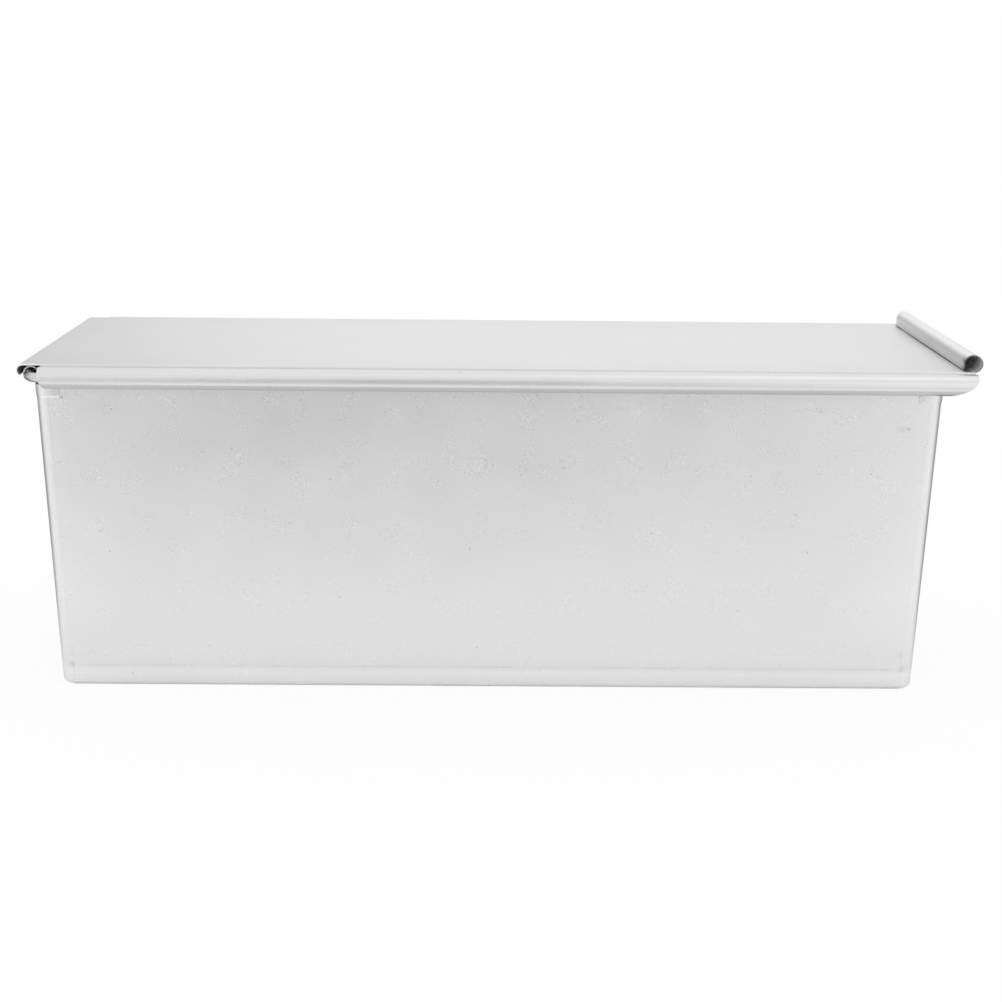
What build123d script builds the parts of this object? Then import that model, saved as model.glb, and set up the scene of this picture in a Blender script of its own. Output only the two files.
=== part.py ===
from build123d import *
from math import copysign, cos, radians, sin
import os

# Pullman loaf pan with a sliding lid, folded from thin sheet round a steel rim wire.
# Millimetres, +Z up. The origin is the middle of the underside of the base.
# +X points to the end of the lid with the rolled grip, and the front long side faces -Y.

# Overall size of the pan, over the rolled rim
rim_length = 331.0
rim_width = 120.0
pan_height = 120.0
wall_lean = 2.8            # how far each wall leans in between the rim and the base

# Sheet and bends of the pan body, outside radii
sheet = 0.5
corner_bend = 4.5          # upright bends between the walls
base_bend = 2.6            # bends between the walls and the base

# Rim wire and the roll that holds it
wire_diameter = 3.4
wire_play = 1.5            # inside width of the roll over the wire's diameter
wire_seat_gap = 0.05       # between the wire and the outer side of the roll
wire_joint_gap = 0.4       # butt joint in the middle of the back side
roll_turn = 300.0          # degrees that the edge of a wall is rolled through

# Folded ears on the end walls, and the lock tabs that run round the corners
ear_width = 36.0
tab_length = 3.6           # past the corner bend, along the long wall
tab_drop = 4.5             # below the underside of the roll

# Lid: side channels that wrap the long rolls
lid_clearance = 0.35       # running gap between a channel and its roll
channel_lip = 75.0         # degrees from the roll's level inner side down to the end of the lip
channel_crest = 60.0       # degrees from the same side up to where the channel ends
crease_bend = 0.75         # mean radius of the two small bends beside the panel
crease_slope = 40.0        # degrees of the short rise from the crease to the panel
panel_clearance = 0.7      # between the panel's underside and the rolls of the end walls
channel_setback = 7.5      # left ends of the channels, in from the end of the rim
channel_overhang = 5.7     # right ends of the channels, past the end of the rim
left_trim = 3.0            # length of the rounded cut at the left ends of the channels
right_trim = 14.0          # length of the rounded cut at their right ends
trim_rise = 3.3            # top of those cuts, above the middle of the roll

# Lid: stop hook at the left end
hook_bend = 1.9            # inside radius
hook_turn = 143.0

# Lid: rolled grip at the right end, whose free edge comes down to the panel
grip_diameter = 6.2
grip_turn = 285.0
grip_reach = 5.5           # middle of the grip's roll, past the end of the rim
foot_bend = 1.0            # mean radius of the bend back above the free edge
foot_turn = 30.0
foot_gap = 0.12            # between the free edge and the panel
grip_trim = 2.7            # how much shorter the free edge is at each end
grip_slit = 0.4            # between the ends of the grip and the channels

# One overrun for every cut and every limiting block
overrun = 10.0

# Half a turn and a quarter turn, in degrees
half_turn = 180.0
quarter_turn = 90.0

# Sizes that follow from those above
roll_diameter = wire_diameter + wire_play + 2 * sheet
roll_radius = roll_diameter / 2
roll_mean = roll_radius - sheet / 2
roll_level = pan_height - roll_radius
roll_underside = pan_height - roll_diameter
roll_x = rim_length / 2 - roll_radius
roll_y = rim_width / 2 - roll_radius
wall_x = roll_x - roll_radius + sheet
wall_y = roll_y - roll_radius + sheet
channel_radius = roll_radius + lid_clearance + sheet
channel_mean = channel_radius - sheet / 2
channel_left = -rim_length / 2 + channel_setback
channel_right = rim_length / 2 + channel_overhang
panel_level = pan_height + panel_clearance + sheet / 2


def tapered_block(half_length, half_width, corner, floor, base_radius):
    """Block with rounded corners that widens from its floor up to the middle of the rolls."""
    inset = wall_lean * (roll_level - floor) / roll_level
    prisms = []
    for plane, half in ((Plane.XZ, half_length), (Plane.YZ, half_width)):
        outline = Polyline(
            (inset - half, floor),
            (half - inset, floor),
            (half, roll_level),
            (-half, roll_level),
            close=True,
        )
        prisms.append(extrude(plane * make_face(outline), amount=half_length, both=True))
    block = prisms[0] & prisms[1]
    block = fillet(block.edges().group_by(Axis.Z)[1], corner)
    return fillet(block.faces().sort_by(Axis.Z)[0].edges(), base_radius)


def bent_strip(start, heading, moves):
    """Section through a bent sheet, from a start point on its middle line.

    Each move is a reach and a turn in degrees: a straight run where the turn is zero,
    and otherwise a bend with the reach as its mean radius, to the left if positive.
    """
    middle = Vector(start)
    left = []
    right = []
    for reach, turn in moves:
        ahead = Vector(cos(radians(heading)), sin(radians(heading)))
        aside = Vector(-ahead.Y, ahead.X)
        for edges, shift in ((left, sheet / 2), (right, -sheet / 2)):
            begin = middle + aside * shift
            if turn:
                edges.append(JernArc(begin, ahead, reach - copysign(shift, shift * turn), turn))
            else:
                edges.append(Line(begin, begin + ahead * reach))
        middle = (left[-1] @ 1 + right[-1] @ 1) / 2
        heading += turn
    caps = [Line(left[0] @ 0, right[0] @ 0), Line(left[-1] @ 1, right[-1] @ 1)]
    return make_face(left + right + caps)


def with_mirror(solid, plane):
    """A solid together with its mirror image across a plane through the origin."""
    return solid + mirror(solid, about=plane)


def block_between(low, high):
    """Upright block between two opposite corners."""
    size = Vector(high) - Vector(low)
    return Pos(*low) * Box(size.X, size.Y, size.Z, align=(Align.MIN, Align.MIN, Align.MIN))


def wall_ears():
    """Corner folds of the blank, laid flat on the outside of the end walls, two sheets thick."""
    foot = wall_y - wall_lean
    outer = wall_y + overrun
    outline = Polyline(
        (-outer, -overrun),
        (-foot - overrun, -overrun),
        (-foot + ear_width, ear_width),
        (-foot + ear_width, roll_underside),
        (-outer, roll_underside),
        close=True,
    )
    reach = wall_x + overrun
    prism = extrude(Plane.YZ * make_face(outline), amount=reach, both=True)
    folded = tapered_block(wall_x + 2 * sheet, wall_y, corner_bend, 0, base_bend)
    return folded & with_mirror(prism, Plane.XZ)


def lock_tabs():
    """Short tabs that run round the four corners, one sheet proud, just under the rolls."""
    skin = tapered_block(wall_x + 3 * sheet, wall_y + sheet, corner_bend + sheet, 0, base_bend)
    low = (wall_x - corner_bend - tab_length, wall_y - corner_bend, roll_underside - tab_drop)
    high = (wall_x + overrun, wall_y + overrun, roll_underside)
    corner = with_mirror(block_between(low, high), Plane.XZ)
    return skin & with_mirror(corner, Plane.YZ)


def rolled_rims():
    """Upper edges of the four walls, rolled outward round the wire and left open at the corners."""
    moves = [(roll_mean, roll_turn)]
    side = Plane.YZ * bent_strip((roll_mean - roll_y, roll_level), quarter_turn, moves)
    end = Plane.XZ * bent_strip((roll_mean - roll_x, roll_level), quarter_turn, moves)
    side_roll = extrude(side, amount=wall_x - corner_bend, both=True)
    end_roll = extrude(end, amount=wall_y - corner_bend, both=True)
    return with_mirror(side_roll, Plane.XZ) + with_mirror(end_roll, Plane.YZ)


def pan_body():
    """Base, leaning walls, ears, tabs and rolled rims, folded from one sheet."""
    outside = tapered_block(wall_x, wall_y, corner_bend, 0, base_bend)
    outside = outside + wall_ears() + lock_tabs()
    inside = tapered_block(
        wall_x - sheet, wall_y - sheet, corner_bend - sheet, sheet, base_bend - sheet
    )
    return outside - inside + rolled_rims()


def rim_wire():
    """Round wire that runs inside the rolls and shows at the four corners."""
    radius = wire_diameter / 2
    outward = roll_radius - sheet - wire_seat_gap - radius
    line_x = roll_x + outward
    line_y = roll_y + outward
    bend = line_x - (wall_x - corner_bend)
    loop = FilletPolyline(
        (wire_joint_gap / 2, line_y),
        (line_x, line_y),
        (line_x, -line_y),
        (-line_x, -line_y),
        (-line_x, line_y),
        (-wire_joint_gap / 2, line_y),
        radius=bend,
    )
    path = Plane.XY.offset(roll_level) * loop
    section = Plane(path @ 0, z_dir=path % 0) * Circle(radius)
    return sweep(section, path=path)


def channel_moves():
    """Moves from the lip under a roll, round the channel and through the crease to the panel.

    Returned with the distance from the middle of the roll to the edge of the level panel.
    """
    dip = quarter_turn - channel_crest
    wrap = 2 * half_turn - channel_lip - channel_crest
    out = channel_mean * cos(radians(channel_crest))
    out += crease_bend * (sin(radians(crease_slope)) + sin(radians(dip)))
    out += crease_bend * sin(radians(crease_slope))
    up = channel_mean * sin(radians(channel_crest))
    up += crease_bend * (cos(radians(dip)) - cos(radians(crease_slope)))
    up += crease_bend * (1 - cos(radians(crease_slope)))
    rise = (panel_level - roll_level - up) / sin(radians(crease_slope))
    moves = [
        (channel_mean, -wrap),
        (crease_bend, dip + crease_slope),
        (rise, 0),
        (crease_bend, -crease_slope),
    ]
    return moves, out + rise * cos(radians(crease_slope))


def end_trim(end_x, length, way):
    """Cut below a quarter ellipse at one end of the channels, way being the side it faces."""
    top = roll_level + trim_rise
    height = channel_radius + trim_rise
    middle = end_x - way * length
    corner = Rectangle(length + overrun, height + overrun, align=(Align.MIN, Align.MAX))
    if way < 0:
        corner = mirror(corner, about=Plane.YZ)
    outline = corner - Ellipse(length, height)
    reach = rim_width / 2 + overrun
    return extrude(Plane.XZ * Pos(middle, top) * outline, amount=reach, both=True)


def grip_moves():
    """Moves round the grip, then back a little and straight down to the panel."""
    mean = (grip_diameter - sheet) / 2
    rolled = radians(grip_turn)
    foot = radians(grip_turn - foot_turn)
    drop = mean * (1 - cos(rolled)) + foot_bend * (cos(foot) - cos(rolled))
    drop -= foot_gap + sheet / 2 * (1 - cos(foot))
    return [(mean, grip_turn), (foot_bend, -foot_turn), (-drop / sin(foot), 0)]


def lid():
    """Panel, side channels, stop hook and rolled grip, folded from one sheet."""
    moves, edge = channel_moves()
    panel_half = roll_y - edge
    grip_x = rim_length / 2 + grip_reach
    hook_mean = hook_bend + sheet / 2
    hook_end = radians(quarter_turn - (hook_turn - quarter_turn))
    hook_x = -rim_length / 2 - lid_clearance + hook_bend * sin(hook_end)

    lip = radians(channel_lip)
    start = (-roll_y + channel_mean * cos(lip), roll_level - channel_mean * sin(lip))
    heading = -channel_lip - quarter_turn
    across = moves + [(2 * panel_half, 0)] + moves[::-1]
    section = Plane.YZ.offset(channel_left) * bent_strip(start, heading, across)
    folded = extrude(section, amount=channel_right - channel_left)
    folded -= end_trim(channel_left, left_trim, -1)
    folded -= end_trim(channel_right, right_trim, 1)

    # The panel stops where the grip starts to rise, while the channels run on beside it
    low = (grip_x, -panel_half, roll_level)
    high = (channel_right + overrun, panel_half, panel_level + overrun)
    folded -= block_between(low, high)

    hook_moves = [(channel_left - hook_x, 0), (hook_mean, hook_turn)]
    hook = Plane.XZ * bent_strip((channel_left, panel_level), half_turn, hook_moves)
    folded += extrude(hook, amount=panel_half, both=True)

    span = panel_half - grip_slit
    grip = Plane.XZ * bent_strip((grip_x, panel_level), 0, grip_moves())
    roll = extrude(grip, amount=span, both=True)
    inner_x = grip_x - grip_diameter / 2
    outer_x = grip_x + grip_diameter / 2
    slant = Polyline(
        (outer_x, span),
        (inner_x, span - grip_trim),
        (inner_x - overrun, span - grip_trim),
        (inner_x - overrun, span + overrun),
        (outer_x, span + overrun),
        close=True,
    )
    above = Plane.XY.offset(panel_level + sheet / 2) * make_face(slant)
    trim = extrude(above, amount=grip_diameter + overrun)
    return folded + (roll - with_mirror(trim, Plane.XZ))


os.makedirs("parts", exist_ok=True)
for name, piece in (("pan_body", pan_body()), ("rim_wire", rim_wire()), ("lid", lid())):
    export_step(piece, f"parts/{name}.step")
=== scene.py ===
import math

import bmesh
import bpy
from mathutils import Matrix, Vector


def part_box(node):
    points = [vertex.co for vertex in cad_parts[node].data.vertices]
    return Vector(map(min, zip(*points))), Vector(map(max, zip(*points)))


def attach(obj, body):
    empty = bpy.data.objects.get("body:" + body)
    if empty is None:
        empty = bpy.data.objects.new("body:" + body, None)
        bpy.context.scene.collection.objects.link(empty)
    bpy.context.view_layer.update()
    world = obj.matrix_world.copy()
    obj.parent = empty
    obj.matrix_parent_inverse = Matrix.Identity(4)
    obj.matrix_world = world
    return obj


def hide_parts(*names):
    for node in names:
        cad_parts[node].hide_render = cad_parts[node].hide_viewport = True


# Pullman loaf pan: a folded pan body, a rim wire in its rolled edges, and a sliding lid.
# Metres, +Z up. +X points to the lid's rolled grip, and the front long side faces -Y.
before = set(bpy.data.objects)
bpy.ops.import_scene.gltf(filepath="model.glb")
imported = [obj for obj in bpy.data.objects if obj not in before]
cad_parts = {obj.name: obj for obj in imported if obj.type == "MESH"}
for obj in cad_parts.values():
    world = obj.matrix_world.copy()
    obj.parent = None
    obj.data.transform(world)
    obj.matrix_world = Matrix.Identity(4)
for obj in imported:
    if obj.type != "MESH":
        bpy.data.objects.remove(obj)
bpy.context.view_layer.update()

mm = 0.001
deg = math.radians(1)
quarter_turn = math.pi / 2
half_turn = math.pi

# Boxes of the three nodes in model.glb
_, pan_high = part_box("pan_body")
wire_low, wire_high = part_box("rim_wire")
lid_low, lid_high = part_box("lid")
rim_x = pan_high.x
rim_y = pan_high.y
pan_height = pan_high.z

# Sheet and bends of the pan body
sheet = 0.5 * mm
wall_lean = 2.8 * mm
corner_bend = 4.5 * mm
base_bend = 2.6 * mm

# Rolled rim and the wire in it
roll_radius = 2.95 * mm
roll_mean = roll_radius - sheet / 2
roll_turn = 300 * deg
roll_level = pan_height - roll_radius
roll_underside = pan_height - 2 * roll_radius
wall_x = rim_x - 2 * roll_radius + sheet
wall_y = rim_y - 2 * roll_radius + sheet
pivot_x = wall_x - corner_bend
pivot_y = wall_y - corner_bend
wire_radius = (wire_high.z - wire_low.z) / 2
wire_x = wire_high.x - wire_radius
wire_y = wire_high.y - wire_radius
wire_bend = wire_x - pivot_x
wire_joint_gap = 0.4 * mm

# Folded ears and lock tabs
ear_width = 36.0 * mm
tab_length = 3.6 * mm
tab_drop = 4.5 * mm
tab_thinning = 0.7          # share of its thickness that a tab loses towards the end wall
ear_start = 0.06 * base_bend  # lowest level of the ears, just above the resting plane
seat_depth = 0.15 * mm      # how far a lapped layer reaches into the sheet under it

# Lid: panel, side channels, stop hook and rolled grip
lid_clearance = 0.35 * mm
panel_clearance = 0.7 * mm
panel_level = pan_height + panel_clearance + sheet / 2
channel_mean = roll_radius + lid_clearance + sheet / 2
channel_crest = 60 * deg
channel_wrap = 225 * deg
crease_bend = 0.75 * mm
crease_slope = 40 * deg
crest_dip = quarter_turn - channel_crest
channel_left = -rim_x + 7.5 * mm
channel_right = rim_x + 5.7 * mm
left_trim = 3.0 * mm
right_trim = 14.0 * mm
trim_level = roll_level + 3.3 * mm
hook_mean = 1.9 * mm + sheet / 2
hook_turn = 143 * deg
hook_reach = -lid_low.x - hook_mean - sheet / 2
grip_mean = 2.85 * mm
grip_turn = 285 * deg
grip_reach = lid_high.x - grip_mean - sheet / 2
grip_slit = 0.4 * mm
grip_trim = 2.7 * mm
foot_bend = 1.0 * mm
foot_turn = 30 * deg
foot_gap = 0.12 * mm
wave_height = 0.12 * mm     # the panel's uneven places, and their scale per metre
wave_scale = 14
wave_seed = 3
wave_margin = 0.15          # share of them that is left beside the creases

# The short rise between a channel's crest and the panel, and the half width that it leaves
crease_drop = crease_bend * (math.cos(crest_dip) + 1 - 2 * math.cos(crease_slope))
crest_level = roll_level + channel_mean * math.sin(channel_crest)
crease_rise = (panel_level - crest_level - crease_drop) / math.sin(crease_slope)
crease_run = crease_bend * (math.sin(crest_dip) + 2 * math.sin(crease_slope))
crease_run += crease_rise * math.cos(crease_slope)
panel_half = rim_y - roll_radius - channel_mean * math.cos(channel_crest) - crease_run
crease_middle = panel_half + 2 * crease_bend * math.sin(crease_slope)
crease_middle += crease_rise * math.cos(crease_slope)

# The straight run of the grip's free edge, which comes down to the panel
foot_heading = grip_turn - foot_turn
foot_drop = grip_mean * (1 - math.cos(grip_turn))
foot_drop += foot_bend * (math.cos(foot_heading) - math.cos(grip_turn))
foot_drop -= foot_gap + sheet / 2 * (1 - math.cos(foot_heading))
foot_run = -foot_drop / math.sin(foot_heading)
foot_x = grip_reach + (grip_mean + foot_bend) * math.sin(grip_turn)
foot_x += foot_run * math.cos(foot_heading) - foot_bend * math.sin(foot_heading)

# Meshes
along_steps = 72            # quads along the pan's long sides, and across its ends
across_steps = 28
merge_distance = 0.002 * mm
cut_softness = 0.07 * mm    # width of the soft edges of cut sheet
tab_softness = 0.25 * mm
sharp_turn = 35 * deg       # edges that turn by more stay sharp

# Frosted sheet: scales of its patterns per metre, and how much each changes the tone
grain_scale, grain_depth = 2600, 0.06
cloud_scale, cloud_depth = 42, 0.06
line_scales, line_depth = (30, 2400, 2400), 0.016
fleck_scale, dark_flecks, light_flecks = 1700, 0.12, 0.11
patch_scale = 110           # patches that hold most of the flecks
speck_scale, speck_depth = 22, 0.2
bump_strength = 0.25
bump_depth = 0.05 * mm

# Painted light and shade on the pan's walls. Depths darken the tone as painted shade, and highlights
# lighten it as painted highlights. Places are pairs of x and z.
line_half = 0.5 * mm        # half width of the painted lines: shade along the folding's bends, and shade or highlight at the tabs
fold_line_shade = 0.055
base_line = 8.4 * mm        # level of the line above the base, which ends before the corners
base_line_end = 149 * mm
corner_line = 153.3 * mm    # distance from the middle to the line beside each corner
short_low_line = 13.2 * mm  # levels of two short lines at the left
short_high_line = 16.3 * mm
dimple_depth = 0.075
low_dimple = (153.9 * mm, 8.6 * mm)
high_dimple = (152.5 * mm, 14.5 * mm)
dent_depth = 0.18
dent_place = (149.2 * mm, 100.4 * mm)
dent_edge_depth = 0.05
dent_edge_place = (146.5 * mm, 100.2 * mm)
notch_depth = 0.3           # beside the foot of the left tab
tab_line_depth = 0.1
tab_foot_highlight = 0.13
side_highlight = 0.035          # painted highlight near the upright edges
low_wall_highlight = 0.075          # painted highlight below the line above the base

# Painted light and shade on the lid: painted shade darkens the tone, and painted highlights lighten it
crease_shade = 0.17
grip_foot_shadow = 0.6
margin_shade = 0.015
lip_shade = 0.2
lip_line_highlight = 0.07
channel_highlight = 0.15
grip_highlight = 0.09
# The grip's cut edges are darker than the others, and the grip loses some of its metallic look inside
grip_cut_darkening = 0.8
grip_inside_dullness = 0.5  # share of its metallic look that the grip loses inside

# Camera at the photograph's viewing angle
view_place = Vector((-1.82, -626.72, 227.75)) * mm
view_down = 15.137 * deg
view_aside = 0.597 * deg
view_roll = 0.590 * deg
view_focus = 1650           # pixels, in an image of view_width
view_width = 1002

# Studio. The darker parts of the world and the floor are seen only by what the metal mirrors.
room_shade = 0.96           # how much greyer the camera's side is
room_middle = -4 * deg
room_half = (2.5 * deg, 12.5 * deg)
room_top = (12 * deg, 50 * deg)
backdrop_shade = 0.36       # how much greyer the backdrop is past its bright middle
backdrop_middle = 3.8 * deg
backdrop_clear = (9 * deg, 21 * deg)
backdrop_flag = (25 * deg, 38 * deg)
backdrop_side = (68 * deg, 90 * deg)
flag_shade = 0.56           # and how much more so from the flags on
level_least = 0.01          # keeps a division by zero out, straight up and down
floor_tone = 0.95
floor_white = 0.9           # share of plain white in the floor right beside the object
floor_shadow = 0.24         # how far from the object the floor turns plain white
floor_contact = 0.03        # and how far in what the metal mirrors of it
flag_floor = 0.85           # how much greyer the floor is behind the object's ends
flag_near = (0.148, 0.168)
flag_behind = (-0.055, 0.02)
flag_far = (0.7, 1.2)
floor_half = 4.0
floor_front = -0.316
softboxes = (
    ("front_softbox", 72 * deg, 60 * deg, 1.5, 0.9, 0.6, 0.5),
    ("back_softbox", 45 * deg, half_turn, 1.8, 2.0, 1.0, 0.4),
)


class Socket:
    """A node's output that takes part in Python expressions, each operator adding a Math node."""

    def __init__(self, tree, link):
        self.tree = tree
        self.link = link

    def math(self, operation, *others):
        operands = dict(enumerate((self, *others)))
        return self.tree.node("ShaderNodeMath", {"operation": operation}, operands)

    def output(self, name):
        return Socket(self.tree, self.link.node.outputs[name])

    def __add__(self, other):
        return self.math("ADD", other)

    def __sub__(self, other):
        return self.math("SUBTRACT", other)

    def __rsub__(self, other):
        return self.math("MULTIPLY", -1).math("ADD", other)

    def __mul__(self, other):
        return self.math("MULTIPLY", other)

    def __truediv__(self, other):
        return self.math("DIVIDE", other)

    __radd__ = __add__

    def kept_between(self, low, high):
        return self.math("MAXIMUM", low).math("MINIMUM", high)


class Tree:
    """A node tree that is filled by node type, settings and socket values."""

    def __init__(self, tree):
        self.tree = tree

    def node(self, kind, settings=None, values=None):
        made = self.tree.nodes.new(kind)
        for name, value in (settings or {}).items():
            setattr(made, name, value)
        for name, value in (values or {}).items():
            if isinstance(value, Socket):
                self.tree.links.new(value.link, made.inputs[name])
            else:
                made.inputs[name].default_value = value
        return Socket(self, made.outputs[0]) if made.outputs else None

    def vector(self, x, y, z):
        return self.node("ShaderNodeCombineXYZ", values={"X": x, "Y": y, "Z": z})

    def parts(self, vector):
        split = self.node("ShaderNodeSeparateXYZ", values={0: vector})
        return [split.output(axis) for axis in "XYZ"]

    def scaled(self, vector, scales):
        return self.node("ShaderNodeVectorMath", {"operation": "MULTIPLY"}, {0: vector, 1: scales})

    def noise(self, vector, scale, detail):
        values = {"Vector": vector, "Scale": scale, "Detail": detail}
        return self.node("ShaderNodeTexNoise", values=values)

    def line(self, value, middle, half):
        """1 where the value is near the middle, fading to 0 at half a line's width from it."""
        return 1 - self.eased((value - middle).math("ABSOLUTE"), half * 0.3, half)

    def spot(self, across, up, middle, half_width, half_height):
        """1 at the middle, a pair of across and up, fading to 0 at the spot's edges."""
        return self.line(up, middle[1], half_height) * self.line(across, middle[0], half_width)

    def within(self, value, start, end):
        """1 between start and end, with short fades outside them."""
        fade = 1.5 * mm
        return self.eased(value, start - fade, start) * (1 - self.eased(value, end, end + fade))

    def eased(self, value, start, end):
        """0 before start and 1 past end, with a smooth rise between them."""
        values = {"Value": value, "From Min": start, "From Max": end}
        return self.node("ShaderNodeMapRange", {"interpolation_type": "SMOOTHSTEP"}, values)

    def past_angle(self, cosine_of, angles):
        """0 at angles below the first of the pair, 1 above the second, from the cosine."""
        return 1 - self.eased(cosine_of, math.cos(angles[1]), math.cos(angles[0]))


class Shaping(Tree):
    """A Geometry Nodes tree with named inputs for its sizes."""

    def __init__(self, name, sizes):
        super().__init__(bpy.data.node_groups.new(name, "GeometryNodeTree"))
        sockets = self.tree.interface
        sockets.new_socket("Geometry", in_out="INPUT", socket_type="NodeSocketGeometry")
        sockets.new_socket("Geometry", in_out="OUTPUT", socket_type="NodeSocketGeometry")
        self.values = {}
        for label, size in sizes.items():
            made = sockets.new_socket(label, in_out="INPUT", socket_type="NodeSocketFloat")
            self.values[made.identifier] = size
        self.start = self.node("NodeGroupInput")

    def size(self, label):
        return self.start.output(label)

    def result(self, geometry, material):
        real = self.node("GeometryNodeRealizeInstances", values={0: geometry})
        painted = self.node("GeometryNodeSetMaterial", values={"Geometry": real, "Material": material})
        self.node("NodeGroupOutput", values={0: painted})

    def attach(self, thing):
        modifier = thing.modifiers.new(self.tree.name, "NODES")
        modifier.node_group = self.tree
        for identifier, value in self.values.items():
            modifier[identifier] = value


def new_object(name, data, *materials):
    thing = bpy.data.objects.new(name, data)
    bpy.context.scene.collection.objects.link(thing)
    for material in materials:
        data.materials.append(material)
    return thing


def finish_piece(thing, body, node):
    """Turns the piece's modifiers into plain mesh, smooths it and gives it to its body."""
    name = thing.name
    bpy.context.view_layer.update()
    shaped = thing.evaluated_get(bpy.context.evaluated_depsgraph_get())
    mesh = bpy.data.meshes.new_from_object(shaped)
    mesh.shade_smooth()
    mesh.set_sharp_from_angle(angle=sharp_turn)
    bpy.data.objects.remove(thing)
    piece = new_object(name, mesh)
    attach(piece, body)
    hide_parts(node)


def spaced(start, end, steps):
    """Evenly spaced values from start to end, with both ends."""
    return [start + (end - start) * k / steps for k in range(steps + 1)]


def chained(*stretches):
    """Stretches of values joined end to end, with each shared end kept once."""
    values = list(stretches[0])
    for stretch in stretches[1:]:
        values += list(stretch)[1:]
    return values


def mesh_from(name, points, faces):
    """Mesh from points and faces, with doubled points merged and faces turned outward."""
    made = bmesh.new()
    verts = [made.verts.new(point) for point in points]
    for face in faces:
        made.faces.new([verts[k] for k in face])
    bmesh.ops.remove_doubles(made, verts=made.verts, dist=merge_distance)
    bmesh.ops.dissolve_degenerate(made, edges=made.edges, dist=merge_distance)
    bmesh.ops.recalc_face_normals(made, faces=made.faces)
    mesh = bpy.data.meshes.new(name)
    made.to_mesh(mesh)
    made.free()
    return mesh


def soften(thing, width, segments, sharpest):
    """Rounds the edges of a piece that turn by more than an angle."""
    soft = thing.modifiers.new("soft_edges", "BEVEL")
    soft.width = width
    soft.segments = segments
    soft.limit_method = "ANGLE"
    soft.angle_limit = sharpest


def thicken(thing):
    """Gives a folded sheet its thickness and softens its cut edges, which have the second material."""
    solid = thing.modifiers.new("thickness", "SOLIDIFY")
    solid.thickness = sheet
    solid.offset = 0
    solid.use_even_offset = True
    solid.material_offset_rim = 1
    soften(thing, cut_softness, 2, 60 * deg)


def painted_wall_light_and_shade(tree, x, y, z):
    """How much darker the pan's sheet is where light and shade are painted on it.

    Painted shade darkens lines and dimples near the base and corners, where the folding bent the sheet,
    a dent high on the right, and a line and a notch at the left tab. Painted highlights make the walls
    lighter near their upright edges, low down and at the foot of the left tabs.
    """
    wide = x.math("ABSOLUTE")
    broken = tree.eased(tree.noise(tree.vector(x, y, z), 90, 2), 0.35, 0.6) * 0.7 + 0.3
    above_base = 1 - tree.eased(wide, base_line_end, base_line_end + 2 * mm)
    above_base = above_base * tree.line(z, base_line, line_half)
    beside_corner = tree.line(wide, corner_line, 0.9 * line_half) * tree.within(z, 3 * mm, 15 * mm)
    short_low = tree.line(z, short_low_line, line_half) * tree.within(x, -149.5 * mm, -144 * mm)
    short_high = tree.line(z, short_high_line, line_half) * tree.within(x, -131 * mm, -126 * mm)
    lines = (above_base + beside_corner + short_low + short_high) * broken * fold_line_shade
    dimples = tree.spot(wide, z, low_dimple, 1.5 * mm, 1.6 * mm)
    dimples = dimples + tree.spot(x, z, high_dimple, 1.4 * mm, 1.8 * mm) * 0.7
    dent = tree.spot(x, z, dent_place, 0.8 * mm, 0.9 * mm) * dent_depth
    dent = dent + tree.spot(x, z, dent_edge_place, 3 * mm, 1.8 * mm) * dent_edge_depth
    tab_end = pivot_x - tab_length
    tab_foot = roll_underside - tab_drop
    notch = tree.spot(x, z, (-tab_end + 0.9 * mm, tab_foot), 0.6 * mm, 0.6 * mm)
    highlights = tree.eased(wide, 110 * mm, 158 * mm) * tree.eased(z, 12 * mm, 40 * mm) * side_highlight
    highlights = highlights + (1 - tree.eased(z, 6 * mm, base_line)) * low_wall_highlight
    on_tab = tree.eased(wide, tab_end - 0.1 * mm, tab_end + 0.1 * mm)
    on_tab = on_tab * tree.eased(y.math("ABSOLUTE"), pivot_y - 0.5 * mm, pivot_y)
    on_tab = on_tab * tree.within(x, -pivot_x - 2.5 * mm, 0)
    highlights = highlights + tree.line(z, tab_foot + 0.1 * mm, line_half) * on_tab * tab_foot_highlight
    tab_line = tree.line(x, -tab_end - 0.1 * mm, line_half)
    tab_line = tab_line * tree.within(z, tab_foot + 1.5 * mm, roll_underside)
    dark = dimples * dimple_depth + notch * notch_depth + tab_line * tab_line_depth
    return lines + dark + dent - highlights


def painted_lid_light_and_shade(tree, x, y, z):
    """How much darker the lid's sheet is in painted shade: in its creases, round its lips, towards the
    panel's sides and in the shadow under the grip's free edge.

    Painted highlights make the grip, a line round the lips and the channels' sides lighter.
    """
    top = tree.eased(z, panel_level - 1.6 * mm, panel_level - 1.2 * mm)
    wide = y.math("ABSOLUTE")
    creases = tree.line(wide, crease_middle, 1.3 * mm) * top
    lip = 1 - tree.eased(z, roll_level - 1.9 * mm, roll_level - 1.3 * mm)
    lip_line = tree.line(z, roll_level - 2.8 * mm, 0.4 * mm)
    channel_side = tree.line(z, roll_level + 0.7 * mm, 1.2 * mm)
    on_panel = 1 - tree.eased(z, panel_level + 0.3 * mm, panel_level + 0.5 * mm)
    beside_grip = tree.eased(wide, panel_half - 4 * mm, panel_half - 2 * mm)
    under_grip = tree.line(x, foot_x, 0.55 * mm) * (1 - beside_grip)
    margin = tree.eased(wide, panel_half - 22 * mm, panel_half) * top
    painted_shade = creases * crease_shade + lip * lip_shade + margin * margin_shade
    painted_shade = painted_shade + under_grip * on_panel * top * grip_foot_shadow
    on_grip = tree.eased(z, panel_level + 0.6 * mm, panel_level + 1.6 * mm)
    return painted_shade - lip_line * lip_line_highlight - channel_side * channel_highlight - on_grip * grip_highlight


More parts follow.
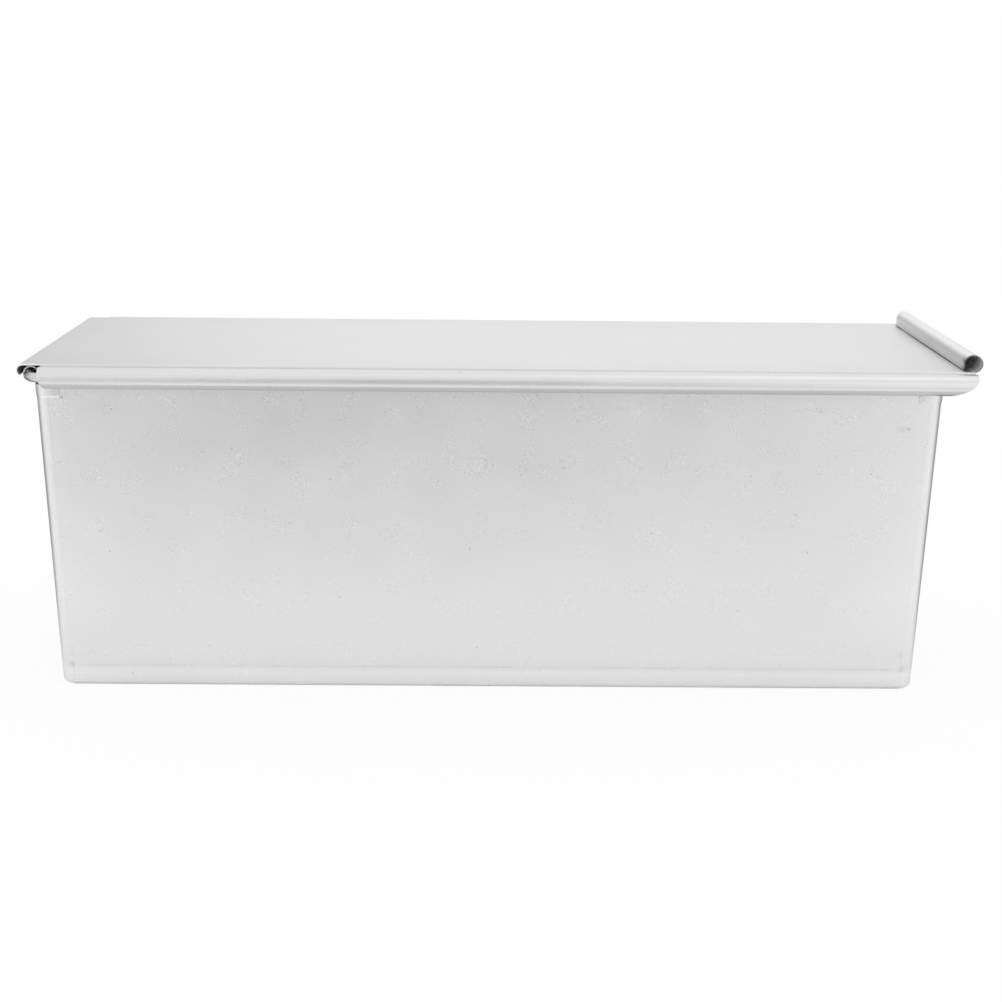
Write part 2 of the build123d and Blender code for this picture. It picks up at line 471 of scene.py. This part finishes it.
def darker_grip_cut(tree, x, y, z):
    """How much darker the grip's cut edges are than the others."""
    on_grip = tree.eased(x, channel_right - 9 * mm, channel_right - 6 * mm)
    on_grip = on_grip * tree.eased(z, panel_level - 0.3 * mm, panel_level - 0.1 * mm)
    return on_grip * grip_cut_darkening


def inside_grip(tree, x, y, z):
    """1 on the outer half of the rolled grip's inner side, fading to 0 towards the panel."""
    out = x - grip_reach
    up = z - (panel_level + grip_mean)
    inner = 1 - tree.eased((out * out + up * up).math("SQRT"), grip_mean - 0.1 * mm, grip_mean)
    return inner * tree.eased(out - up * 0.6, -0.8 * mm, 2.6 * mm)


def sheet_metal(name, tone, rough, metallic=1.0, marks_and_painted_light=None, grainy=1.0, dull=None):
    """Frosted metal with grain, light and dark flecks, specks, rolling lines along X and clouding, plus
    any marks and painted light and shade passed in.
    """
    material = bpy.data.materials.new(name)
    material.use_nodes = True
    material.node_tree.nodes.clear()
    tree = Tree(material.node_tree)
    place = tree.node("ShaderNodeTexCoord").output("Object")
    x, y, z = tree.parts(place)
    grain = tree.noise(place, grain_scale, 2)
    flecks = tree.noise(place, fleck_scale, 1)
    patchy = tree.eased(tree.noise(place, patch_scale, 2), 0.46, 0.63) * 0.85 + 0.15
    patchy = patchy * (tree.eased(z, 0, pan_height) * 0.7 + 0.5) * grainy
    cloud = tree.noise(place, cloud_scale, 4)
    lines = tree.noise(tree.scaled(place, line_scales), 1, 3)
    skewed = tree.vector(x + y * 0.37, z + y * 0.61, 0)
    nearest = tree.node(
        "ShaderNodeTexVoronoi",
        {"voronoi_dimensions": "2D"},
        {"Vector": skewed, "Scale": speck_scale},
    )
    specks = 1 - tree.eased(nearest, 0.005, 0.01)
    shade = (grain - 0.5) * grain_depth * grainy + (cloud - 0.5) * cloud_depth
    shade = shade + (lines - 0.5) * line_depth + tone
    shade = shade - tree.eased(flecks, 0.57, 0.73) * patchy * dark_flecks
    shade = shade + (1 - tree.eased(flecks, 0.27, 0.43)) * patchy * light_flecks
    shade = shade - specks * speck_depth
    if marks_and_painted_light:
        shade = shade - marks_and_painted_light(tree, x, y, z)
    if dull:
        metallic = metallic - dull(tree, x, y, z) * grip_inside_dullness
    height = grain * 0.6 + flecks * 0.25 + lines * 0.15
    bump = tree.node(
        "ShaderNodeBump", values={"Strength": bump_strength, "Distance": bump_depth, "Height": height}
    )
    color = tree.node("ShaderNodeCombineColor", values={0: shade, 1: shade, 2: shade})
    shader = tree.node(
        "ShaderNodeBsdfPrincipled",
        values={
            "Base Color": color,
            "Metallic": metallic,
            "Roughness": (cloud - 0.5) * 0.1 + rough,
            "Normal": bump,
        },
    )
    tree.node("ShaderNodeOutputMaterial", values={"Surface": shader})
    return material


pan_metal = sheet_metal("matte_pan_sheet", 0.79, 0.44, marks_and_painted_light=painted_wall_light_and_shade)
# The lid is the same sheet as the pan; its slightly darker tone is painted shade.
lid_metal = sheet_metal(
    "matte_lid_sheet", 0.755, 0.38, marks_and_painted_light=painted_lid_light_and_shade, grainy=0.5, dull=inside_grip
)
# The cut edges' near-white, barely metallic tone is partly their matte sheared finish and partly a
# painted highlight.
edge_metal = sheet_metal("cut_sheet_edge", 0.97, 0.5, metallic=0.05, marks_and_painted_light=darker_grip_cut)
wire_metal = sheet_metal("dull_wire", 0.64, 0.34)


def inset(level):
    """How far the walls have leaned in at a level."""
    return wall_lean * (roll_level - min(level, roll_level)) / roll_level


def pan_point(share_x, share_y, facing, distance, level):
    """Point of the pan's sheet at a distance from the corner pivots, or from the lines between them."""
    x = share_x * (pivot_x - inset(level)) + distance * math.cos(facing)
    y = share_y * (pivot_y - inset(level)) + distance * math.sin(facing)
    return Vector((x, y, level))


def pan_rings():
    """Distance and level of each ring of the base and walls, in the middle of the sheet."""
    bend = base_bend - sheet / 2
    rings = [(0, sheet / 2)]
    for angle in spaced(-quarter_turn, 0, 8):
        distance = corner_bend - base_bend + bend * math.cos(angle)
        rings.append((distance, base_bend + bend * math.sin(angle)))
    wall = spaced(base_bend, roll_level, 26)[1:]
    return rings + [(corner_bend - sheet / 2, level) for level in wall]


def roll_rings():
    """The same for the rolled rim, from the top of the wall to the free edge."""
    middle = corner_bend - sheet + roll_radius
    rings = []
    for angle in spaced(half_turn, half_turn - roll_turn, 34)[1:]:
        distance = middle + roll_mean * math.cos(angle)
        rings.append((distance, roll_level + roll_mean * math.sin(angle)))
    return rings


along_shares = spaced(-1, 1, along_steps)
across_shares = spaced(-1, 1, across_steps)


def pan_columns():
    """Pivot shares and facing of each column, once round the pan from the front left corner."""
    columns = []
    for turn, (share_x, share_y) in enumerate(((1, -1), (1, 1), (-1, 1), (-1, -1))):
        facing = (turn - 1) * quarter_turn
        for share in across_shares if turn % 2 else along_shares:
            share = share if turn in (0, 1) else -share
            columns.append((share_x, share, facing) if turn % 2 else (share, share_y, facing))
        for angle in spaced(facing, facing + quarter_turn, 10)[1:-1]:
            columns.append((share_x, share_y, angle))
    return columns


def pan_shell():
    """Base, leaning walls and rolled rims as one folded sheet."""
    columns = pan_columns()
    rings = pan_rings()
    stations = rings + roll_rings()
    points = [pan_point(*column, *station) for column in columns for station in stations]
    faces = []
    for k, column in enumerate(columns):
        after = (k + 1) % len(columns)
        straight = column[2] == columns[after][2]
        for row in range(len(stations if straight else rings) - 1):
            a = k * len(stations) + row
            b = after * len(stations) + row
            faces.append((a, b, b + 1, a + 1))
    start = len(points)
    points += [pan_point(x, y, 0, 0, sheet / 2) for y in across_shares for x in along_shares]
    for row in range(len(across_shares) - 1):
        for column in range(len(along_shares) - 1):
            a = start + row * len(along_shares) + column
            b = a + len(along_shares)
            faces.append((a, a + 1, b + 1, b))
    mesh = mesh_from("folded_pan", points, faces)
    loose = bmesh.new()
    loose.from_mesh(mesh)
    unused = [vert for vert in loose.verts if not vert.link_faces]
    bmesh.ops.delete(loose, geom=unused, context="VERTS")
    loose.to_mesh(mesh)
    loose.free()
    shell = new_object("folded_pan", mesh, pan_metal, edge_metal)
    thicken(shell)
    finish_piece(shell, "pan", "pan_body")


def lap_point(level, facing, past, lift_x, lift):
    """Point of a layer lapped round a corner, where past is the flat way beyond the bend."""
    tuck = base_bend - math.sqrt(base_bend**2 - max(base_bend - level, 0) ** 2)
    bend = corner_bend - tuck + lift
    x = pivot_x - inset(level) + lift_x + bend * math.sin(facing)
    y = pivot_y - inset(level) + bend * math.cos(facing) - past
    return x, y, level


def ear_ring(level):
    """Outline of an ear at one level, from the long wall to its free edge and back under."""
    middle = pivot_y - inset(level)
    end = wall_y - wall_lean - min(level, ear_width)
    tuck = base_bend - math.sqrt(base_bend**2 - max(base_bend - level, 0) ** 2)
    sweep = math.acos(min(1, max(0, (end - middle) / (corner_bend - tuck))))
    flat = max(middle - end - sheet, 0)
    stops = [(sweep * share, 0) for share in spaced(0, 1, 10)]
    stops += [(sweep, flat * share) for share in spaced(0, 1, 8)[1:]]
    ring = [lap_point(level, 0, 0, 0, 0)]
    ring += [lap_point(level, facing, past, 2 * sheet, 0) for facing, past in stops]
    for share in spaced(0, 1, 8)[1:]:
        bulge = sheet * math.sin(half_turn * share)
        lift_x = 2 * sheet * (1 - share)
        ring.append(lap_point(level, sweep, flat + bulge, lift_x, -seat_depth * share))
    under = reversed(stops[:-1])
    ring += [lap_point(level, facing, past, 0, -seat_depth) for facing, past in under]
    return ring


def tab_ring(level):
    """Outline of a lock tab at one level, over the long wall, and thinner over the ear."""
    bends = spaced(0, quarter_turn, 10)
    ring = []
    for facing in bends:
        lift = sheet * (1 - tab_thinning * math.sin(facing))
        ring.append(lap_point(level, facing, 0, 2 * sheet, lift))
    ring += [lap_point(level, facing, 0, 0, -seat_depth) for facing in reversed(bends)]
    start_x = pivot_x - tab_length
    ring.append((start_x, ring[-1][1], level))
    ring.append((start_x, ring[0][1], level))
    return ring


def corner_laps(name, levels, ring_at, soft_edge=0):
    """A lapped layer at each of the four corners, closed at its top and bottom."""
    rings = [ring_at(level) for level in levels]
    count = len(rings[0])
    points = []
    faces = []
    for side_x in (1, -1):
        for side_y in (1, -1):
            start = len(points)
            points += [(side_x * x, side_y * y, z) for ring in rings for x, y, z in ring]
            for row in range(len(rings) - 1):
                for k in range(count):
                    a = start + row * count + k
                    b = start + row * count + (k + 1) % count
                    faces.append((a, b, b + count, a + count))
            faces.append(tuple(range(start, start + count)))
            faces.append(tuple(range(len(points) - count, len(points))))
    laps = new_object(name, mesh_from(name, points, faces), pan_metal)
    if soft_edge:
        soften(laps, soft_edge, 3, 50 * deg)
    finish_piece(laps, "pan", "pan_body")


def ears():
    levels = chained(
        spaced(ear_start, base_bend, 6),
        spaced(base_bend, ear_width, 10),
        spaced(ear_width, roll_underside, 12),
    )
    corner_laps("corner_ears", levels, ear_ring)


def tabs():
    levels = spaced(roll_underside - tab_drop, roll_underside, 4)
    corner_laps("lock_tabs", levels, tab_ring, tab_softness)


def rim_wire():
    """Wire along the rolled rims, bent round the four corners and butted at the back."""
    tree = Shaping("wire_along_rim", {"Bend Radius": wire_bend, "Wire Radius": wire_radius})
    line = tree.node("GeometryNodeMeshToCurve", values={"Mesh": tree.size("Geometry")})
    bent = tree.node(
        "GeometryNodeFilletCurve",
        {"mode": "POLY"},
        {"Curve": line, "Count": 16, "Radius": tree.size("Bend Radius")},
    )
    section = tree.node(
        "GeometryNodeCurvePrimitiveCircle",
        values={"Resolution": 32, "Radius": tree.size("Wire Radius")},
    )
    swept = tree.node(
        "GeometryNodeCurveToMesh",
        values={"Curve": bent, "Profile Curve": section, "Fill Caps": True},
    )
    tree.result(swept, wire_metal)

    joint = wire_joint_gap / 2
    right = [(joint, wire_y), (wire_x, wire_y), (wire_x, -wire_y)]
    left = [(-wire_x, -wire_y), (-wire_x, wire_y), (-joint, wire_y)]
    turns = right + left
    points = [(x, y, roll_level) for x, y in turns]
    path = bpy.data.meshes.new("round_wire")
    path.from_pydata(points, [(k, k + 1) for k in range(len(points) - 1)], [])
    wire = new_object("round_wire", path)
    tree.attach(wire)
    finish_piece(wire, "pan", "rim_wire")


def sine(value):
    return value.math("SINE") if isinstance(value, Socket) else math.sin(value)


def cosine(value):
    return value.math("COSINE") if isinstance(value, Socket) else math.cos(value)


def folded(flat, moves):
    """Reach and rise of a point that lay flat so far past the first bend line, once it is bent.

    A move is a bend's radius, turn and way, 1 up or -1 down, or no radius and a straight run's length.
    """
    reach = rise = passed = heading = 0
    for radius, amount, way in moves:
        length = radius * amount if radius else amount
        done = (flat - passed).kept_between(0, length)
        if radius:
            turned = heading + done / radius * way
            reach = reach + (sine(turned) - sine(heading)) * radius * way
            rise = rise + (cosine(heading) - cosine(turned)) * radius * way
            heading = heading + amount * way
        else:
            reach = reach + done * cosine(heading)
            rise = rise + done * sine(heading)
        passed = passed + length
    return reach, rise


def lid_folding():
    """Tree that folds the lid's flat blank: creases and channels across, hook and grip along."""
    tree = Shaping(
        "fold_lid",
        {
            "Panel Half Width": panel_half,
            "Panel Level": panel_level,
            "Crease Radius": crease_bend,
            "Crease Slope": crease_slope,
            "Crease Rise": crease_rise,
            "Crest Dip": crest_dip,
            "Channel Radius": channel_mean,
            "Channel Wrap": channel_wrap,
            "Left Trim Start": channel_left + left_trim,
            "Right Trim Start": channel_right - right_trim,
            "Trim Level": trim_level,
            "Trim Height": trim_level - roll_level + channel_mean + sheet / 2,
            "Hook Start": -hook_reach,
            "Hook Radius": hook_mean,
            "Hook Turn": hook_turn,
            "Grip Start": grip_reach,
            "Grip Radius": grip_mean,
            "Grip Turn": grip_turn,
            "Foot Radius": foot_bend,
            "Foot Turn": foot_turn,
            "Foot Run": foot_run,
            "Grip Half Length": panel_half - grip_slit,
            "Grip Trim": grip_trim,
            "Wave Height": wave_height,
            "Wave Scale": wave_scale,
            "Wave Seed": wave_seed,
        },
    )
    size = tree.size
    u, v, w = tree.parts(tree.node("GeometryNodeInputPosition"))
    width = v.math("ABSOLUTE")
    half = size("Panel Half Width")
    slope = size("Crease Slope")
    dip = size("Crest Dip")

    # Across: down into the crease, up to the crest, then round the channel
    moves = [
        (size("Crease Radius"), slope, -1),
        (None, size("Crease Rise"), 0),
        (size("Crease Radius"), slope + dip, 1),
        (size("Channel Radius"), size("Channel Wrap"), -1),
    ]
    reach, rise = folded(width - half, moves)
    y = (width.math("MINIMUM", half) + reach) * v.math("SIGN")
    level = size("Panel Level") + rise

    # Along: down round the stop hook, and up round the grip, which leaves the channels flat
    on_grip = 1 - width.math("GREATER_THAN", size("Grip Half Length") + 0.1 * mm)
    past_grip = (u - size("Grip Start")).math("MAXIMUM", 0) * on_grip
    past_hook = (size("Hook Start") - u).math("MAXIMUM", 0)
    hook_in, hook_up = folded(past_hook, [(size("Hook Radius"), size("Hook Turn"), -1)])
    grip_moves = [
        (size("Grip Radius"), size("Grip Turn"), 1),
        (size("Foot Radius"), size("Foot Turn"), -1),
        (None, size("Foot Run"), 0),
    ]
    grip_out, grip_up = folded(past_grip, grip_moves)
    turned = (past_grip / size("Grip Radius") - quarter_turn).kept_between(0, half_turn) / half_turn
    y = y * (1 - turned * size("Grip Trim") / size("Grip Half Length"))

    # The channels' ends are cut to quarter ellipses in side view
    depth = (size("Trim Level") - level).math("MAXIMUM", 0) / size("Trim Height")
    cut = 1 - (1 - depth * depth).math("MAXIMUM", 0).math("SQRT")
    past_right = (u - size("Right Trim Start")).math("MAXIMUM", 0)
    past_left = (size("Left Trim Start") - u).math("MAXIMUM", 0)
    x = u + past_hook - past_grip - hook_in + grip_out + (past_left - past_right) * cut

    place = tree.vector(x, y, level + hook_up + grip_up)
    bent = tree.node(
        "GeometryNodeSetPosition",
        values={"Geometry": size("Geometry"), "Position": place},
    )
    noise = tree.node(
        "ShaderNodeTexNoise",
        {"noise_dimensions": "4D"},
        {"W": size("Wave Seed"), "Scale": size("Wave Scale"), "Detail": 1},
    )
    from_middle = width / half
    share = (1 - from_middle * from_middle).math("MAXIMUM", 0)
    share = share * (1 - wave_margin) + wave_margin
    off_level = (w - size("Panel Level")).math("ABSOLUTE") / size("Hook Radius")
    level_part = (1 - off_level).math("MAXIMUM", 0)
    sink = (noise - 1) * share * level_part * size("Wave Height")
    normal = tree.node("GeometryNodeInputNormal")
    offset = tree.node("ShaderNodeVectorMath", {"operation": "SCALE"}, {0: normal, "Scale": sink})
    waved = tree.node("GeometryNodeSetPosition", values={"Geometry": bent, "Offset": offset})
    tree.result(waved, lid_metal)
    return tree


def lid_blank():
    """The lid's flat blank, with grid lines where it is bent, notched beside the grip and the hook."""
    hook_end = -hook_reach - hook_mean * hook_turn
    grip_end = grip_reach + grip_mean * grip_turn
    foot_start = grip_end + foot_bend * foot_turn
    left_start = channel_left + left_trim
    right_start = channel_right - right_trim
    along = chained(
        spaced(hook_end, -hook_reach, 20),
        spaced(-hook_reach, channel_left, 2),
        spaced(channel_left, left_start, 8),
        spaced(left_start, right_start, 64),
        spaced(right_start, grip_reach, 12),
        spaced(grip_reach, channel_right, 4),
        spaced(channel_right, grip_end, 38),
        spaced(grip_end, foot_start, 5),
        spaced(foot_start, foot_start + foot_run, 2),
    )
    stretches = (
        (panel_half - grip_slit, 14),
        (grip_slit, 1),
        (crease_bend * crease_slope, 5),
        (crease_rise, 1),
        (crease_bend * (crest_dip + crease_slope), 6),
        (channel_mean * channel_wrap, 44),
    )
    side = [0]
    for length, steps in stretches:
        side = chained(side, spaced(side[-1], side[-1] + length, steps))
    across = [-v for v in reversed(side[1:])] + side
    points = [(u, v, 0) for u in along for v in across]
    faces = []
    for row in range(len(along) - 1):
        u = (along[row] + along[row + 1]) / 2
        for column in range(len(across) - 1):
            v = abs(across[column] + across[column + 1]) / 2
            beside_channels = channel_left < u < channel_right and v > panel_half
            in_panel = v < panel_half and u < grip_reach
            in_grip = v < panel_half - grip_slit
            if beside_channels or in_panel or in_grip:
                a = row * len(across) + column
                b = a + len(across)
                faces.append((a, b, b + 1, a + 1))
    return points, faces


def lid_sheet():
    """Panel, channels, stop hook and grip, folded from one blank."""
    points, faces = lid_blank()
    used = sorted({k for face in faces for k in face})
    place = {k: n for n, k in enumerate(used)}
    blank = bpy.data.meshes.new("folded_lid")
    quads = [[place[k] for k in face] for face in faces]
    blank.from_pydata([points[k] for k in used], [], quads)
    lid = new_object("folded_lid", blank, lid_metal, edge_metal)
    lid_folding().attach(lid)
    thicken(lid)
    finish_piece(lid, "lid", "lid")


def camera():
    data = bpy.data.cameras.new("camera")
    data.sensor_width = 36
    data.lens = view_focus / view_width * data.sensor_width
    thing = new_object("camera", data)
    ahead = Vector(
        (
            math.sin(view_aside) * math.cos(view_down),
            math.cos(view_aside) * math.cos(view_down),
            -math.sin(view_down),
        )
    )
    right = Vector((math.cos(view_aside), -math.sin(view_aside), 0))
    up = right.cross(ahead)
    turned_right = right * math.cos(view_roll) + up * math.sin(view_roll)
    turned_up = up * math.cos(view_roll) - right * math.sin(view_roll)
    axes = Matrix((turned_right, turned_up, -ahead)).transposed()
    thing.matrix_world = Matrix.Translation(view_place) @ axes.to_4x4()
    bpy.context.scene.camera = thing


def surroundings():
    """White all round, but mirrored greyer from the camera's side and beside the backdrop's middle."""
    world = bpy.data.worlds.new("white_surroundings")
    world.use_nodes = True
    world.node_tree.nodes.clear()
    bpy.context.scene.world = world
    tree = Tree(world.node_tree)
    aside, ahead, up = tree.parts(tree.node("ShaderNodeTexCoord").output("Generated"))
    level = (aside * aside + ahead * ahead).math("SQRT").math("MAXIMUM", level_least)
    low = 1 - tree.eased(up, math.sin(room_top[0]), math.sin(room_top[1]))
    in_front = (aside * math.sin(room_middle) - ahead * math.cos(room_middle)) / level
    camera_side = 1 - tree.past_angle(in_front, room_half)
    behind = (aside * math.sin(backdrop_middle) + ahead * math.cos(backdrop_middle)) / level
    beside = tree.past_angle(behind, backdrop_clear) * backdrop_shade
    beside = beside + tree.past_angle(behind, backdrop_flag) * flag_shade
    beside = beside * (1 - tree.past_angle(behind, backdrop_side))
    mirrored = tree.node("ShaderNodeLightPath").output("Is Glossy Ray")
    strength = 1 - (camera_side * room_shade + beside) * low * mirrored
    sky = tree.node("ShaderNodeBackground", values={"Color": (1, 1, 1, 1), "Strength": strength})
    tree.node("ShaderNodeOutputWorld", values={"Surface": sky})
    world.cycles.sampling_method = "NONE"


def floor():
    """Pale floor that keeps the object's shadow and is plain white far from it.

    Its near edge lies between the object and the camera.
    """
    paint = bpy.data.materials.new("pale_floor")
    paint.use_nodes = True
    paint.node_tree.nodes.clear()
    tree = Tree(paint.node_tree)
    grey = (floor_tone, floor_tone, floor_tone, 1)
    matte = tree.node("ShaderNodeBsdfDiffuse", values={"Color": grey})
    x, y, _ = tree.parts(tree.node("ShaderNodeTexCoord").output("Object"))
    past_x = (x.math("ABSOLUTE") - (wall_x - wall_lean)).math("MAXIMUM", 0)
    past_y = (y.math("ABSOLUTE") - (wall_y - wall_lean)).math("MAXIMUM", 0)
    away = (past_x * past_x + past_y * past_y).math("SQRT")
    rays = tree.node("ShaderNodeLightPath")
    mirrored = rays.output("Is Glossy Ray") + rays.output("Is Transmission Ray")
    mirrored = mirrored.math("MINIMUM", 1)
    in_view = tree.eased(away, 0, floor_shadow) * (1 - floor_white) + floor_white
    in_metal = tree.eased(away, 0, floor_contact)
    plain = rays.output("Is Camera Ray") * in_view + mirrored * in_metal
    flags = tree.eased(x.math("ABSOLUTE"), *flag_near) * tree.eased(y, *flag_behind)
    flags = flags * (1 - tree.eased(away, *flag_far))
    level = 1 - mirrored * flags * flag_floor
    shade = tree.node("ShaderNodeCombineColor", values={0: level, 1: level, 2: level})
    white = tree.node("ShaderNodeEmission", values={"Color": shade, "Strength": 1.0})
    mixed = tree.node("ShaderNodeMixShader", values={0: plain, 1: matte, 2: white})
    tree.node("ShaderNodeOutputMaterial", values={"Surface": mixed})
    paint.cycles.emission_sampling = "NONE"
    near = [(-floor_half, floor_front, 0), (floor_half, floor_front, 0)]
    corners = near + [(floor_half, floor_half, 0), (-floor_half, floor_half, 0)]
    mesh = bpy.data.meshes.new("floor")
    mesh.from_pydata(corners, [], [(0, 1, 2, 3)])
    new_object("floor", mesh, paint)


def lamps():
    """Broad soft lamps: name, elevation, way round from the front, distance, width, depth, power."""
    for name, up, around, away, width, depth, power in softboxes:
        data = bpy.data.lights.new(name, "AREA")
        data.shape = "RECTANGLE"
        data.size = width
        data.size_y = depth
        data.energy = power
        lamp = new_object(name, data)
        flat = away * math.cos(up)
        lamp.location = (flat * math.sin(around), -flat * math.cos(around), away * math.sin(up))
        aim = Vector((0, 0, pan_height)) - lamp.location
        lamp.rotation_euler = aim.to_track_quat("-Z", "Y").to_euler()


pan_shell()
ears()
tabs()
rim_wire()
lid_sheet()
camera()
surroundings()
floor()
lamps()
bpy.context.scene.view_settings.view_transform = "Standard"
